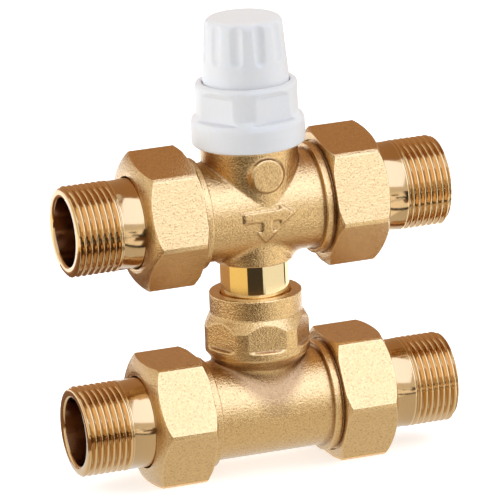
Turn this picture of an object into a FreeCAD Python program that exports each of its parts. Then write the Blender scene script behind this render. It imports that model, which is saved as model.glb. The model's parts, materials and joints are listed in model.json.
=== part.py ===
import FreeCAD, Part
import math
import os
import Sketcher

# Three-way zone valve with a telescopic bypass tee. Millimetres, +Z up.
# X runs along both pipe lines, and the lower nuts stand on Z = 0.

os.makedirs("parts", exist_ok=True)
doc = FreeCAD.newDocument("three_way_zone_valve")
sheet = doc.addObject("Spreadsheet::Sheet", "sizes")


class Size:
    # A length together with the sheet expression that gives it
    def __init__(self, value, text):
        self.value = value
        self.text = text

    def __add__(self, other):
        other = as_size(other)
        return Size(self.value + other.value, f"({self.text} + {other.text})")

    def __sub__(self, other):
        other = as_size(other)
        return Size(self.value - other.value, f"({self.text} - {other.text})")

    def __mul__(self, factor):
        return Size(self.value * factor, f"({self.text} * {factor:.9f})")

    def __neg__(self):
        return Size(-self.value, f"(0 - {self.text})")


def as_size(number):
    return number if isinstance(number, Size) else Size(float(number), f"{float(number):.6f}")


driving = {
    # gaps and broken edges
    "fit_gap": (0.05, "radial gap of a close fit"),
    "face_gap": (0.05, "gap between faces that bear on each other"),
    "edge_break": (0.8, "turned chamfer on threads and rims"),
    # union nuts and tailpieces
    "pipe_thread_radius": (13.22, "G 3/4 thread on the tailpieces"),
    "pipe_thread_length": (13.9, "G 3/4 thread, end to end"),
    "tail_neck_length": (6.4, "plain neck outside the nut"),
    "tail_neck_depth": (0.17, "plain neck below the thread"),
    "tail_wall": (3.22, "tailpiece, thread to bore"),
    "flange_bearing": (1.43, "flange past the nut's hole"),
    "flange_play": (1.62, "G 1 union thread past the flange"),
    "flange_thickness": (2.2, "flange of a tailpiece"),
    "gasket_thickness": (2.0, "flat seal of a union"),
    "gasket_step": (0.3, "flat seal's hole past the bore"),
    "nut_clearance": (3.5, "nut clear of the cap's lower ring"),
    "nut_cover": (9.95, "nut over the thread of the body"),
    "nut_wall": (1.38, "nut's wall under a flat"),
    "nut_corner_rise": (2.45, "turned corners above the flats"),
    "nut_lip": (3.0, "end wall of the nut behind the flange"),
    "nut_hole_gap": (0.35, "nut hole round the pipe thread"),
    "nut_face_drop": (3.8, "flat ring of the outer face below the flats"),
    "nut_cone": (2.7, "length of the outer cone"),
    "nut_back_drop": (1.75, "flat ring of the inner face below the corners"),
    "nut_back_cone": (1.1, "length of the inner cone"),
    "upper_nut_tilt": (12.0, "degrees, upper nuts turned from level flats"),
    # forged bodies
    "bore_step": (0.7, "pipe bore in the bodies below the tailpiece's bore"),
    "body_wall": (5.2, "round body, bore to outside"),
    "ring_gap": (0.5, "raised ring clear of the nut"),
    "ring_width": (2.2, "raised ring"),
    "ring_drop": (0.32, "raised ring below the union thread"),
    "undercut_depth": (1.32, "run-out below the union thread"),
    "undercut_width": (0.9, "run-out between ring and thread"),
    "boss_wall": (3.85, "round boss outside its thread"),
    "boss_rise": (4.5, "boss top above the pipe"),
    "port_wall": (1.5, "bypass port outside the sleeve"),
    "port_drop": (1.1, "port face below the pipe"),
    "port_fillet": (3.0, "between the port and the pipe"),
    # raised flow arrow and round pad
    "relief": (0.45, "raised arrow above the pipe"),
    "relief_root": (3.5, "depth of the arrow's root in the wall"),
    "arrow_tail": (-7.6, "left end of the flow arrow"),
    "arrow_tip": (7.6, "right end of the flow arrow"),
    "arrow_barb": (3.6, "start of the right arrow head"),
    "arrow_height": (0.45, "middle of the arrow above the pipe axis"),
    "arrow_half": (1.4, "half the width of the arrow's shafts"),
    "arrow_spread": (3.0, "half the width of the arrow heads"),
    "arrow_branch": (-0.55, "middle of the branch arrow"),
    "branch_tip": (-8.1, "lower end of the branch arrow"),
    "branch_barb": (-4.4, "start of the lower arrow head"),
    "pad_radius": (4.7, "round pad on the boss"),
    "pad_drop": (6.7, "middle of the pad below the boss top"),
    "pad_relief": (0.85, "face of the pad in front of the boss"),
    "pad_depth": (3.2, "round pad, face to root"),
    "pad_draft": (26.0, "degrees, sides of the round pad"),
    # seats and passages inside the valve
    "seat_radius": (6.6, "hole of the straight-way seat"),
    "seat_lip": (1.0, "width of a seat lip"),
    "seat_lip_height": (0.6, "height of the straight-way seat lip"),
    "wall_bottom": (-1.0, "under side of the dividing wall"),
    "wall_thickness": (2.5, "dividing wall between the passages"),
    "chamber_step": (1.5, "ledge under the headwork thread"),
    "disc_clearance": (0.7, "lower chamber round the disc"),
    "chamber_wall": (2.1, "wall between chamber and pipe bore"),
    "passage_margin": (0.9, "passage edge from the dividing wall"),
    "passage_inset": (0.9, "passage edge from the pipe bore"),
    "stroke": (3.5, "travel of the stem"),
    # bypass sleeve
    "sleeve_bore_step": (1.2, "sleeve bore past the seat's hole"),
    "sleeve_wall": (2.2, "wall of the polished sleeve"),
    "sleeve_show": (9.6, "sleeve showing between port and socket"),
    "sleeve_depth": (15.8, "sleeve inside the socket"),
    "sleeve_room": (8.6, "space under the sleeve in the socket"),
    "sleeve_shoulder": (0.6, "seat lip above the sleeve shoulder"),
    "sleeve_ring_section": (0.6, "radius of the sleeve seal's section"),
    "sleeve_ring_inset": (2.7, "sleeve seal inside the port face"),
    # socket of the bypass tee
    "socket_draft": (4.4, "forged cone's root inside the corners"),
    "socket_rise": (2.9, "forged cone above the pipe"),
    "socket_fillet": (1.8, "between the forged cone and the pipe"),
    "socket_band": (2.2, "round band under the wrench flats"),
    "socket_hex_length": (9.2, "wrench flats"),
    "socket_wall": (4.15, "sleeve to wrench flat"),
    "socket_corner_rise": (1.15, "turned corners above the flats"),
    "socket_cone": (3.4, "cone at the top of the flats"),
    "socket_rim_drop": (0.65, "round rim inside the flats"),
    "socket_rim_height": (6.0, "round rim of the socket"),
    "socket_bore_gap": (0.07, "socket bore round the sleeve"),
    "socket_mouth": (0.63, "countersink of the socket's mouth"),
    "socket_mouth_depth": (0.7, "countersink of the socket's mouth"),
    "socket_turn": (-8.5, "degrees, the flats turned from the front"),
    "upper_ring_inset": (4.4, "upper socket seal below the rim"),
    "ring_pitch": (6.0, "lower socket seal below the upper one"),
    "ring_section": (0.85, "radius of a socket seal's section"),
    "groove_play": (0.4, "seal groove wider than its seal"),
    # headwork
    "headwork_thread_radius": (10.3, "headwork thread in the boss"),
    "headwork_depth": (8.0, "headwork inside the boss"),
    "headwork_floor": (2.0, "floor under the return spring"),
    "cap_thread_lip": (0.8, "M30 cap thread past the boss"),
    "cap_thread_length": (6.8, "M30 cap thread"),
    "headwork_flats": (19.0, "across the headwork's flats"),
    "headwork_flats_height": (3.6, "height of the headwork's flats"),
    "spring_bore_radius": (4.5, "space for the return spring"),
    "gland_depth": (4.2, "gland nut inside the headwork"),
    "gland_step": (0.5, "gland nut thread past the spring's bore"),
    "gland_shoulder": (1.0, "gland nut's flats past its thread"),
    "gland_head": (1.6, "head of the gland nut"),
    "stem_ring_rise": (2.7, "stem seal above the gland nut's end"),
    "stem_ring_depth": (1.8, "groove of the stem seal"),
    "headwork_ring_inset": (1.2, "headwork seal below the boss top"),
    "headwork_ring_section": (0.7, "radius of the headwork seal's section"),
    # stem, disc and return spring
    "stem_radius": (2.0, "stem"),
    "stem_reach": (2.2, "stem above the web of the cap"),
    "stem_flange_rise": (3.0, "flange that the disc hangs from"),
    "stem_flange": (1.2, "thickness of that flange"),
    "disc_overlap": (0.1, "disc past the seat of the sleeve"),
    "disc_thickness": (4.2, "sealing disc"),
    "washer_rise": (3.6, "washer past the stem"),
    "washer_thickness": (1.0, "washer under the disc"),
    "disc_nut_flats": (7.0, "across the disc nut's flats"),
    "disc_nut_height": (2.2, "disc nut"),
    "stem_tail": (0.5, "stem below the disc nut"),
    "spring_wire": (0.4, "radius of the spring wire"),
    "spring_play": (0.6, "spring clear of its bore"),
    "spring_turns": (5.0, "coils of the return spring"),
    "spring_head_gap": (1.2, "clip below the gland nut, valve at rest"),
    "spring_cup_play": (0.35, "cup clear of its bore"),
    "spring_cup_thickness": (1.0, "cup on top of the spring"),
    "clip_rise": (1.2, "clip past the stem"),
    "clip_thickness": (0.6, "clip above the cup"),
    "clip_groove": (0.4, "depth of the clip's groove"),
    "clip_slot": (2.6, "open side of the clip"),
    # white cap
    "collar_gap": (0.25, "collar above the boss"),
    "collar_ring_wall": (1.55, "lower ring outside the M30 thread"),
    "collar_ring_height": (6.65, "lower ring of the collar"),
    "collar_shoulder_rise": (1.3, "lower ring to the bend of the shoulder"),
    "collar_bend_drop": (0.55, "bend of the shoulder inside the ring"),
    "collar_wall_rise": (1.6, "bend of the shoulder to the plain wall"),
    "collar_wall_drop": (1.0, "plain wall inside the bend"),
    "collar_taper": (0.1, "taper of the plain wall"),
    "collar_lap": (1.2, "collar past the knob's lower edge"),
    "collar_round": (1.4, "rounded top edge"),
    "collar_foot_round": (0.9, "rounded lower edge"),
    "thread_runout": (0.3, "thread inside the collar past the headwork's"),
    "mouth_gap": (0.3, "collar mouth round the knob"),
    "mouth_wall": (2.1, "wall of the collar's mouth"),
    "panel_depth": (1.2, "recessed flat panel inside the plain wall"),
    "panel_foot": (0.1, "recessed flat panel above the bend of the shoulder"),
    "panel_head": (0.9, "recessed flat panel below the top"),
    "panel_cove": (1.7, "sloping upper edge of a panel"),
    "panel_count": (5.0, "recessed flat panels"),
    "cap_turn": (-149.0, "degrees, first panel from the pipe line"),
    "web_clearance": (0.5, "web above the gland nut"),
    "web_thickness": (1.3, "web inside the collar"),
    "post_radius": (8.0, "threaded post for the knob"),
    "post_gap": (0.75, "post clear of the pin's head, pin down"),
    "pin_rise": (0.6, "pusher pin past the stem"),
    "pin_head_rise": (2.4, "head of the pusher pin"),
    "pin_head": (1.5, "thickness of the pin's head"),
    "knob_floor_gap": (0.3, "knob clear of the web, knob down"),
    "knob_height": (19.8, "knob"),
    "knob_foot": (2.9, "straight foot of the knob"),
    "knob_crown": (3.0, "crown of the knob"),
    "knob_taper": (0.95, "taper of the knob's side"),
    "crown_taper": (0.3, "taper of the knob's crown"),
    "knob_top_round": (2.3, "rounded top edge of the knob"),
    "knob_roof_wall": (2.3, "thickness of the knob's top"),
    "knob_skirt": (1.25, "wall of the knob's skirt"),
    "knob_sleeve": (1.6, "wall of the knob's threaded sleeve"),
    "knob_recess": (4.4, "depth of the recess in the knob"),
    "flute_count": (11.0, "flutes round the knob"),
    "flute_radius": (3.2, "round section of a flute"),
    "flute_depth": (1.05, "depth of a flute"),
    "flute_rise": (6.0, "lower end of a flute above the knob's edge"),
    "flute_turn": (-88.5, "degrees, first flute from the pipe line"),
}

names = {}
for row, (name, (value, note)) in enumerate(driving.items(), start=1):
    sheet.set(f"A{row}", name)
    sheet.set(f"B{row}", str(value))
    sheet.set(f"C{row}", note)
    sheet.setAlias(f"B{row}", name)
    names[name] = Size(value, f"sizes.{name}")
doc.recompute()


def size(name):
    return names[name]


zero = as_size(0.0)
over = as_size(1.0)
waste = as_size(3.0)
half = 0.5
corner_share = 1.0 / math.sqrt(3.0)

# Radii of the unions and of the pipes
nut_hole_radius = size("pipe_thread_radius") + size("nut_hole_gap")
tail_neck_radius = size("pipe_thread_radius") - size("tail_neck_depth")
tail_bore_radius = size("pipe_thread_radius") - size("tail_wall")
flange_radius = nut_hole_radius + size("flange_bearing")
union_thread_radius = flange_radius + size("flange_play")
gasket_inner_radius = tail_bore_radius + size("gasket_step")
nut_flats = (union_thread_radius + size("nut_wall")) * 2.0
nut_corner_radius = nut_flats * half + size("nut_corner_rise")
nut_face_radius = nut_flats * half - size("nut_face_drop")
nut_back_radius = nut_corner_radius - size("nut_back_drop")
body_bore_radius = tail_bore_radius - size("bore_step")
body_radius = body_bore_radius + size("body_wall")
ring_radius = union_thread_radius - size("ring_drop")
undercut_radius = union_thread_radius - size("undercut_depth")

# Radii round the valve axis
boss_radius = size("headwork_thread_radius") + size("boss_wall")
cap_thread_radius = boss_radius + size("cap_thread_lip")
collar_ring_radius = cap_thread_radius + size("collar_ring_wall")
collar_bend_radius = collar_ring_radius - size("collar_bend_drop")
collar_wall_radius = collar_bend_radius - size("collar_wall_drop")
collar_shoulder_radius = collar_wall_radius - size("collar_taper")
collar_mouth_radius = collar_shoulder_radius - size("mouth_wall")
panel_distance = collar_wall_radius - size("panel_depth")
knob_radius = collar_mouth_radius - size("mouth_gap")
knob_shoulder_radius = knob_radius - size("knob_taper")
knob_crown_radius = knob_shoulder_radius - size("crown_taper")
upper_chamber_radius = size("headwork_thread_radius") - size("chamber_step")
sleeve_bore_radius = size("seat_radius") + size("sleeve_bore_step")
sleeve_lip_radius = sleeve_bore_radius + size("seat_lip")
disc_radius = sleeve_lip_radius + size("disc_overlap")
lower_chamber_radius = disc_radius + size("disc_clearance")
passage_wall = lower_chamber_radius + size("chamber_wall")
inlet_floor = size("passage_inset") - body_bore_radius
sleeve_radius = sleeve_bore_radius + size("sleeve_wall")
port_radius = sleeve_radius + size("port_wall")
socket_bore = sleeve_radius + size("socket_bore_gap")
socket_flats = (sleeve_radius + size("socket_wall")) * 2.0
socket_corner_radius = socket_flats * half + size("socket_corner_rise")
socket_root_radius = socket_corner_radius - size("socket_draft")
socket_rim_radius = socket_flats * half - size("socket_rim_drop")
stem_hole = size("stem_radius") + size("fit_gap")
pin_radius = size("stem_radius") + size("pin_rise")
gland_thread_radius = size("spring_bore_radius") + size("gland_step")
gland_flats = (gland_thread_radius + size("gland_shoulder")) * 2.0
spring_coil_radius = size("spring_bore_radius") - size("spring_play") - size("spring_wire")

# Stations along the pipe, from the valve's middle outwards
nut_inner = collar_ring_radius + size("nut_clearance")
body_end = nut_inner + size("nut_cover")
gasket_outer = body_end + size("gasket_thickness")
flange_outer = gasket_outer + size("flange_thickness")
lip_face = flange_outer + size("face_gap")
nut_outer = lip_face + size("nut_lip")
thread_start = nut_outer + size("tail_neck_length")
end_reach = thread_start + size("pipe_thread_length")
ring_end = nut_inner - size("ring_gap")
ring_start = ring_end - size("ring_width")

# Heights of the socket above the lower pipe axis
socket_ledge = body_radius + size("socket_rise")
socket_hex_start = socket_ledge + size("socket_band")
socket_hex_end = socket_hex_start + size("socket_hex_length")
socket_top = socket_hex_end + size("socket_rim_height")
upper_ring_height = socket_top - size("upper_ring_inset")
lower_ring_height = upper_ring_height - size("ring_pitch")
sleeve_end = socket_top - size("sleeve_depth")
socket_floor = sleeve_end - size("sleeve_room")

# The two pipe axes
port_reach = body_radius + size("port_drop")
axis_spacing = socket_top + size("sleeve_show") + port_reach
lower_axis = nut_flats * half
upper_axis = lower_axis + axis_spacing

# Heights of the valve's inside above the upper pipe axis
wall_top = size("wall_bottom") + size("wall_thickness")
seat_face = size("wall_bottom") - size("seat_lip_height")
disc_top = seat_face - size("face_gap")
disc_bottom = disc_top - size("disc_thickness")
sleeve_seat = disc_bottom - size("stroke") - size("face_gap")
sleeve_stop = sleeve_seat - size("sleeve_shoulder")
boss_height = body_radius + size("boss_rise")
headwork_bottom = boss_height - size("headwork_depth")
headwork_ring_height = boss_height - size("headwork_ring_inset")
cap_thread_top = boss_height + size("cap_thread_length")
headwork_top = cap_thread_top + size("headwork_flats_height")
gland_seat = headwork_top - size("gland_depth")
gland_top = headwork_top + size("gland_head")
stem_ring_height = gland_seat + size("stem_ring_rise")
spring_floor = headwork_bottom + size("headwork_floor")
clip_top = gland_seat - size("spring_head_gap")
cup_top = clip_top - size("clip_thickness")
cup_bottom = cup_top - size("spring_cup_thickness")

# Heights of the cap above the upper pipe axis
collar_bottom = boss_height + size("collar_gap")
collar_ring_top = collar_bottom + size("collar_ring_height")
collar_shoulder = collar_ring_top + size("collar_shoulder_rise")
collar_wall_start = collar_shoulder + size("collar_wall_rise")
collar_thread_end = cap_thread_top + size("thread_runout")
web_bottom = gland_top + size("web_clearance")
web_top = web_bottom + size("web_thickness")
stem_top = web_top + size("stem_reach")
knob_bottom = web_top + size("stroke") + size("knob_floor_gap")
knob_waist = knob_bottom + size("knob_foot")
knob_top = knob_bottom + size("knob_height")
knob_shoulder = knob_top - size("knob_crown")
knob_roof = knob_top - size("knob_roof_wall")
pin_top = knob_roof - size("face_gap")
post_top = pin_top - size("pin_head") - size("stroke") - size("post_gap")
collar_top = knob_bottom + size("collar_lap")
panel_bottom = collar_shoulder + size("panel_foot")
panel_top = collar_top - size("panel_head")

problems = []
nodes = []


def bind(thing, path, length):
    thing.setExpression(path, length.text)


def place(thing, height=zero, along=0.0, tilt=0.0, turn=0.0):
    # tilt turns about the pipe, turn about the vertical; height is tied to the sheet
    rotation = FreeCAD.Rotation(FreeCAD.Vector(0, 0, 1), turn)
    rotation = rotation.multiply(FreeCAD.Rotation(FreeCAD.Vector(1, 0, 0), tilt))
    thing.Placement = FreeCAD.Placement(FreeCAD.Vector(along, 0, height.value), rotation)
    bind(thing, "Placement.Base.z", height)


def node(thing, label):
    thing.Label = label
    nodes.append(thing)
    return thing


def new_body(label):
    body = doc.addObject("PartDesign::Body", label)
    return node(body, label)


def new_sketch(body, role, name):
    sketch = body.newObject("Sketcher::SketchObject", name)
    plane = [item for item in body.Origin.OriginFeatures if item.Role == role][0]
    sketch.AttachmentSupport = [(plane, "")]
    sketch.MapMode = "FlatFace"
    return sketch


def tie_point(sketch, line, end, point):
    # holds one end of a line at its two coordinates
    for kind, axis, length in (("DistanceX", -2, point[0]), ("DistanceY", -1, point[1])):
        if abs(length.value) < 1e-9:
            sketch.addConstraint(Sketcher.Constraint("PointOnObject", line, end, axis))
        elif length.value > 0:
            rule = Sketcher.Constraint(kind, -1, 1, line, end, length.value)
            bind(sketch, f"Constraints[{sketch.addConstraint(rule)}]", length)
        else:
            rule = Sketcher.Constraint(kind, line, end, -1, 1, -length.value)
            bind(sketch, f"Constraints[{sketch.addConstraint(rule)}]", -length)


def add_outline(sketch, points):
    # closed outline of straight edges
    first = sketch.GeometryCount
    corners = [FreeCAD.Vector(across.value, up.value, 0) for across, up in points]
    count = len(corners)
    for index in range(count):
        sketch.addGeometry(Part.LineSegment(corners[index], corners[(index + 1) % count]))
    for index in range(count):
        following = first + (index + 1) % count
        sketch.addConstraint(Sketcher.Constraint("Coincident", first + index, 2, following, 1))
    for index, point in enumerate(points):
        tie_point(sketch, first + index, 1, point)


def add_circle(sketch, radius):
    circle = Part.Circle(FreeCAD.Vector(0, 0, 0), FreeCAD.Vector(0, 0, 1), radius.value)
    number = sketch.addGeometry(circle)
    sketch.addConstraint(Sketcher.Constraint("Coincident", number, 3, -1, 1))
    rule = Sketcher.Constraint("Radius", number, radius.value)
    bind(sketch, f"Constraints[{sketch.addConstraint(rule)}]", radius)


def as_points(pairs):
    return [(as_size(across), as_size(up)) for across, up in pairs]


def turned(body, name, axis, pairs):
    # profile revolved about the pipe axis (H_Axis) or the valve axis (V_Axis)
    sketch = new_sketch(body, "XZ_Plane", name + "_profile")
    add_outline(sketch, as_points(pairs))
    feature = body.newObject("PartDesign::Revolution", name)
    feature.Profile = sketch
    feature.ReferenceAxis = (sketch, [axis])
    feature.Angle = 360.0
    return feature


def bored(body, name, axis, pairs):
    sketch = new_sketch(body, "XZ_Plane", name + "_profile")
    add_outline(sketch, as_points(pairs))
    doc.recompute()
    before = body.Shape.Volume
    feature = body.newObject("PartDesign::Groove", name)
    feature.Profile = sketch
    feature.ReferenceAxis = (sketch, [axis])
    feature.Angle = 360.0
    check_cut(body, name, before)
    return feature


def check_cut(body, name, before):
    doc.recompute()
    if body.Shape.Volume > before - 1e-3:
        problems.append(f"{body.Label}: {name} cuts nothing")


def hexagon(flats):
    corner = flats * corner_share
    angles = [math.radians(60.0 * index) for index in range(6)]
    return [(corner * math.cos(angle), corner * math.sin(angle)) for angle in angles]


def flats_cut(body, name, role, flats, outside, start, length, turn=0.0):
    # takes away what is outside a hexagon between two stations
    sketch = new_sketch(body, role, name + "_profile")
    rotation = FreeCAD.Rotation(FreeCAD.Vector(0, 0, 1), turn)
    sketch.AttachmentOffset = FreeCAD.Placement(FreeCAD.Vector(0, 0, start.value), rotation)
    bind(sketch, "AttachmentOffset.Base.z", start)
    add_outline(sketch, hexagon(flats))
    add_circle(sketch, outside)
    doc.recompute()
    before = body.Shape.Volume
    feature = body.newObject("PartDesign::Pocket", name)
    feature.Profile = sketch
    bind(feature, "Length", length)
    feature.Reversed = True
    check_cut(body, name, before)
    return feature


def edges_at(shape, test):
    return [f"Edge{index}" for index, edge in enumerate(shape.Edges, start=1) if test(edge)]


def rounded(body, name, radius, test):
    doc.recompute()
    base = body.Tip
    feature = body.newObject("PartDesign::Fillet", name)
    feature.Base = (base, edges_at(base.Shape, test))
    bind(feature, "Radius", radius)
    doc.recompute()
    return feature


def is_ring(edge, radius, height):
    # full circle about the valve axis at a height
    if edge.Curve.TypeId != "Part::GeomCircle":
        return False
    same_radius = abs(edge.Curve.Radius - radius.value) < 1e-4
    return same_radius and abs(edge.Curve.Center.z - height.value) < 1e-4


def is_saddle(edge):
    # the seam where an upright form runs into the pipe
    return edge.Curve.TypeId not in ("Part::GeomCircle", "Part::GeomLine")


def seal_ring(label, section, middle, height):
    ring = doc.addObject("Part::Torus", label)
    bind(ring, "Radius1", middle)
    bind(ring, "Radius2", section)
    place(ring, height)
    return node(ring, label)


def pipe_blank(body):
    # forged round body with a ring, a run-out and a union thread at each end
    union_start = ring_end + size("undercut_width")
    taper = size("edge_break")
    right = [
        (ring_start, body_radius),
        (ring_start, ring_radius),
        (ring_end, ring_radius),
        (ring_end, undercut_radius),
        (union_start, undercut_radius),
        (union_start, union_thread_radius),
        (body_end - taper, union_thread_radius),
        (body_end, union_thread_radius - taper),
        (body_end, zero),
    ]
    left = [(-along, radius) for along, radius in reversed(right)]
    return turned(body, "pipe", "H_Axis", left + right)


def make_valve_body():
    body = new_body("valve_body")
    flow_arrow(body)
    pipe_blank(body)
    turned(body, "port", "V_Axis", [
        (0, 0),
        (port_radius, 0),
        (port_radius, -port_reach),
        (0, -port_reach),
    ])
    rounded(body, "port_fillet", size("port_fillet"), is_port_seam)
    turned(body, "boss", "V_Axis", [
        (0, 0),
        (boss_radius, 0),
        (boss_radius, boss_height),
        (0, boss_height),
    ])
    round_pad(body)
    bored(body, "left_bore", "H_Axis", [
        (-(body_end + over), 0),
        (-(body_end + over), body_bore_radius),
        (-passage_wall, body_bore_radius),
        (-passage_wall, 0),
    ])
    bored(body, "right_bore", "H_Axis", [
        (body_end + over, 0),
        (body_end + over, body_bore_radius),
        (passage_wall, body_bore_radius),
        (passage_wall, 0),
    ])
    port_bore = sleeve_radius + size("fit_gap")
    thread_bore = size("headwork_thread_radius") + size("fit_gap")
    bored(body, "vertical_bore", "V_Axis", [
        (0, -(port_reach + over)),
        (port_bore, -(port_reach + over)),
        (port_bore, sleeve_stop + size("face_gap")),
        (lower_chamber_radius, sleeve_stop + size("face_gap")),
        (lower_chamber_radius, size("wall_bottom")),
        (size("seat_radius") + size("seat_lip"), size("wall_bottom")),
        (size("seat_radius") + size("seat_lip"), seat_face),
        (size("seat_radius"), seat_face),
        (size("seat_radius"), wall_top),
        (upper_chamber_radius, wall_top),
        (upper_chamber_radius, headwork_bottom),
        (thread_bore, headwork_bottom),
        (thread_bore, boss_height + over),
        (0, boss_height + over),
    ])
    margin = size("passage_margin")
    side_passage(body, "inlet", -passage_wall, inlet_floor, size("wall_bottom") - margin)
    side_passage(body, "outlet", passage_wall, wall_top + margin, -inlet_floor)
    place(body, upper_axis)


def is_port_seam(edge):
    # the seam between the port and the pipe, not the arrow's outline
    return is_saddle(edge) and edge.BoundBox.XLength > port_radius.value


def flow_arrow(body):
    # raised flow arrow: along the pipe, with a branch down to the bypass
    middle = size("arrow_height")
    top = middle + size("arrow_half")
    low = middle - size("arrow_half")
    left = size("arrow_branch") - size("arrow_half")
    right = size("arrow_branch") + size("arrow_half")
    sketch = new_sketch(body, "XZ_Plane", "arrow_profile")
    root = body_radius - size("relief_root")
    bind(sketch, "AttachmentOffset.Base.z", root)
    add_outline(sketch, [
        (size("arrow_tail"), low),
        (left, low),
        (left, size("branch_barb")),
        (size("arrow_branch") - size("arrow_spread"), size("branch_barb")),
        (size("arrow_branch"), size("branch_tip")),
        (size("arrow_branch") + size("arrow_spread"), size("branch_barb")),
        (right, size("branch_barb")),
        (right, low),
        (size("arrow_barb"), low),
        (size("arrow_barb"), middle - size("arrow_spread")),
        (size("arrow_tip"), middle),
        (size("arrow_barb"), middle + size("arrow_spread")),
        (size("arrow_barb"), top),
        (size("arrow_tail"), top),
    ])
    crest = body_radius + size("relief")
    raised = body.newObject("PartDesign::Pad", "arrow")
    raised.Profile = sketch
    bind(raised, "Length", crest + over - root)
    bored(body, "arrow_crest", "H_Axis", [
        (size("arrow_tail") - over, crest),
        (size("arrow_tip") + over, crest),
        (size("arrow_tip") + over, crest + waste),
        (size("arrow_tail") - over, crest + waste),
    ])


def round_pad(body):
    # plain round pad with drafted sides on the front of the boss
    sketch = new_sketch(body, "XZ_Plane", "pad_profile")
    bind(sketch, "AttachmentOffset.Base.z", boss_radius + size("pad_relief"))
    height = boss_height - size("pad_drop")
    middle = FreeCAD.Vector(0, height.value, 0)
    number = sketch.addGeometry(Part.Circle(middle, FreeCAD.Vector(0, 0, 1), size("pad_radius").value))
    tie_point(sketch, number, 3, (zero, height))
    rule = Sketcher.Constraint("Radius", number, size("pad_radius").value)
    bind(sketch, f"Constraints[{sketch.addConstraint(rule)}]", size("pad_radius"))
    raised = body.newObject("PartDesign::Pad", "pad")
    raised.Profile = sketch
    raised.Reversed = True
    bind(raised, "Length", size("pad_depth"))
    bind(raised, "TaperAngle", size("pad_draft"))


def side_passage(body, name, reach, low, high):
    # slice of the pipe bore that joins it to the chamber beside the seat
    radius = body_bore_radius
    sketch = new_sketch(body, "YZ_Plane", name + "_profile")
    half_low = math.sqrt(radius.value ** 2 - low.value ** 2)
    half_high = math.sqrt(radius.value ** 2 - high.value ** 2)
    corners = [(-half_low, low), (half_low, low), (half_high, high), (-half_high, high)]
    points = [FreeCAD.Vector(across, up.value, 0) for across, up in corners]
    full = Part.Circle(FreeCAD.Vector(0, 0, 0), FreeCAD.Vector(0, 0, 1), radius.value)
    angles = [math.atan2(point.y, point.x) for point in points]
    sketch.addGeometry(Part.LineSegment(points[0], points[1]))
    sketch.addGeometry(Part.ArcOfCircle(full, angles[1], angles[2]))
    sketch.addGeometry(Part.LineSegment(points[2], points[3]))
    sketch.addGeometry(Part.ArcOfCircle(full, angles[3], angles[0] + 2 * math.pi))
    for first, first_end, second, second_end in ((0, 2, 1, 1), (1, 2, 2, 1), (2, 2, 3, 1), (3, 2, 0, 1)):
        sketch.addConstraint(Sketcher.Constraint("Coincident", first, first_end, second, second_end))
    for arc in (1, 3):
        sketch.addConstraint(Sketcher.Constraint("Coincident", arc, 3, -1, 1))
    rule = Sketcher.Constraint("Radius", 1, radius.value)
    bind(sketch, f"Constraints[{sketch.addConstraint(rule)}]", radius)
    for line, height in ((0, low), (2, high)):
        sketch.addConstraint(Sketcher.Constraint("Horizontal", line))
        sign = 1.0 if height.value > 0 else -1.0
        ends = (-1, 1, line, 1) if sign > 0 else (line, 1, -1, 1)
        rule = Sketcher.Constraint("DistanceY", *ends, abs(height.value))
        bind(sketch, f"Constraints[{sketch.addConstraint(rule)}]", height * sign)
    doc.recompute()
    before = body.Shape.Volume
    feature = body.newObject("PartDesign::Pocket", name)
    feature.Profile = sketch
    feature.Reversed = reach.value > 0
    bind(feature, "Length", reach * (1.0 if reach.value > 0 else -1.0))
    check_cut(body, name, before)


def make_bypass_tee():
    body = new_body("bypass_tee")
    pipe_blank(body)
    cone_top = socket_hex_end
    cone_start = cone_top - size("socket_cone")
    turned(body, "socket", "V_Axis", [
        (0, 0),
        (socket_root_radius, 0),
        (socket_corner_radius, socket_ledge),
        (socket_corner_radius, cone_start),
        (socket_rim_radius, cone_top),
        (socket_rim_radius, socket_top),
        (0, socket_top),
    ])
    rounded(body, "socket_fillet", size("socket_fillet"), is_saddle)
    span = socket_hex_end - socket_hex_start
    flats_cut(body, "wrench_flats", "XY_Plane", socket_flats,
              socket_corner_radius + waste, socket_hex_start, span,
              turn=size("socket_turn").value)
    bored(body, "pipe_bore", "H_Axis", [
        (-(body_end + over), 0),
        (-(body_end + over), body_bore_radius),
        (body_end + over, body_bore_radius),
        (body_end + over, 0),
    ])
    groove = size("ring_section") + size("groove_play") * half
    floor_radius = socket_bore + size("ring_section") * 2.0 + size("fit_gap")
    mouth_radius = socket_bore + size("socket_mouth")
    upper = upper_ring_height
    lower = lower_ring_height
    mouth = socket_top - size("socket_mouth_depth")
    bored(body, "socket_bore", "V_Axis", [
        (0, 0),
        (sleeve_bore_radius, 0),
        (sleeve_bore_radius, socket_floor),
        (socket_bore, socket_floor),
        (socket_bore, lower - groove),
        (floor_radius, lower - groove),
        (floor_radius, lower + groove),
        (socket_bore, lower + groove),
        (socket_bore, upper - groove),
        (floor_radius, upper - groove),
        (floor_radius, upper + groove),
        (socket_bore, upper + groove),
        (socket_bore, mouth),
        (mouth_radius, socket_top),
        (mouth_radius, socket_top + over),
        (0, socket_top + over),
    ])
    place(body, lower_axis)


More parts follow.
